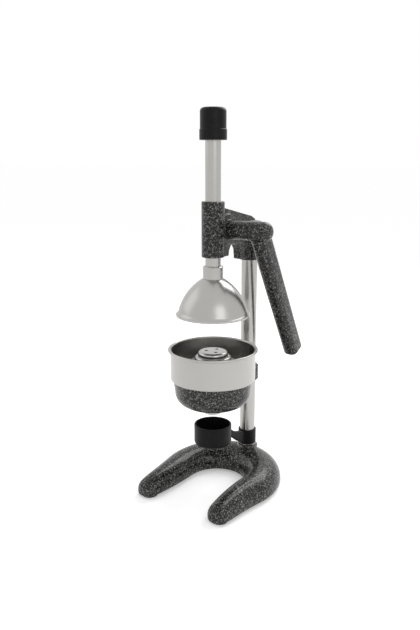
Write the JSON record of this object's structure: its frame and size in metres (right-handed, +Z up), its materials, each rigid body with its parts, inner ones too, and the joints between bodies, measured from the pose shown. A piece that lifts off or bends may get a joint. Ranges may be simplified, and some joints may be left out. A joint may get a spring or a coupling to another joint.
{
  "type": "lever citrus juice press",
  "caption": "Upright hand press for citrus: a side lever turns a pinion that drives a toothed plunger and steel dome down over a strainer cone in a cup on a horseshoe stand.",
  "frame": {"origin": "on the table, under the middle of the press's bounding box", "axes": "+Z up, -Y to the front of the press where the legs point, +X to the side of the lever"},
  "size_m": [0.1696, 0.2148, 0.5115],
  "materials": {
    "granite_paint": "black hammered enamel with fine grey and white speckles, glossy",
    "satin_steel": "satin, turned grain",
    "polished_steel": "bright satin chrome",
    "machined_steel": "machined, lightly greased",
    "zinc_steel": "zinc plated",
    "bronze": "sintered bronze",
    "black_rubber": "smooth satin black",
    "black_plastic": "matt black"
  },
  "bodies": {
    "stand": {"base_casting": "granite_paint", "foot_pad_front_left": "black_rubber", "foot_pad_front_right": "black_rubber", "foot_pad_rear_left": "black_rubber", "foot_pad_rear_right": "black_rubber", "column_tube": "polished_steel", "column_plug": "machined_steel", "base_bolt": "zinc_steel", "base_washer": "zinc_steel", "column_foot_ring": "polished_steel", "head_casting": "granite_paint", "head_set_screw": "zinc_steel", "guide_bush_lower": "bronze", "guide_bush_upper": "bronze", "shaft_bush_left": "bronze", "shaft_bush_right": "bronze", "cup_holder": "granite_paint", "holder_set_screw": "zinc_steel"},
    "lever": {"lever_arm": "granite_paint", "lever_set_screw": "zinc_steel", "pinion_shaft": "machined_steel", "pinion_key": "machined_steel", "pinion_gear": "machined_steel", "shaft_ring": "machined_steel"},
    "plunger": {"plunger_rack": "polished_steel", "plunger_cap": "black_rubber", "dome_collar": "satin_steel", "pressing_dome": "satin_steel", "dome_washer": "zinc_steel", "dome_screw": "zinc_steel"},
    "cup": {"juice_cup": "satin_steel", "cup_spout": "satin_steel"},
    "strainer": {"strainer_cone": "polished_steel", "strainer_plate": "polished_steel"},
    "drip_tray": {"drip_cup": "black_plastic"}
  },
  "joints": [
    {"name": "lever_turn", "type": "hinge", "parent": "stand", "child": "lever", "pos_m": [0, -0.00189, 0.36], "axis": [1, 0, 0], "range_deg": [-16, 267]},
    {"name": "plunger_slide", "type": "slide", "parent": "stand", "child": "plunger", "axis": [0, 0, -1], "range_m": [-0.0048, 0.0748]},
    {"name": "drip_swing", "type": "hinge", "parent": "stand", "child": "drip_tray", "pos_m": [0, 0.06211, 0.049], "axis": [0, 0, 1], "continuous": true},
    {"name": "cup_lift", "type": "slide", "parent": "stand", "child": "cup", "axis": [0, 0, 1], "range_m": [0, 0.006]},
    {"name": "strainer_lift", "type": "slide", "parent": "cup", "child": "strainer", "axis": [0, 0, 1], "range_m": [0, 0.003]}
  ],
  "couplings": [
    {"joint": "plunger_slide", "follows": "lever_turn", "m_per_rad": 0.016}
  ]
}
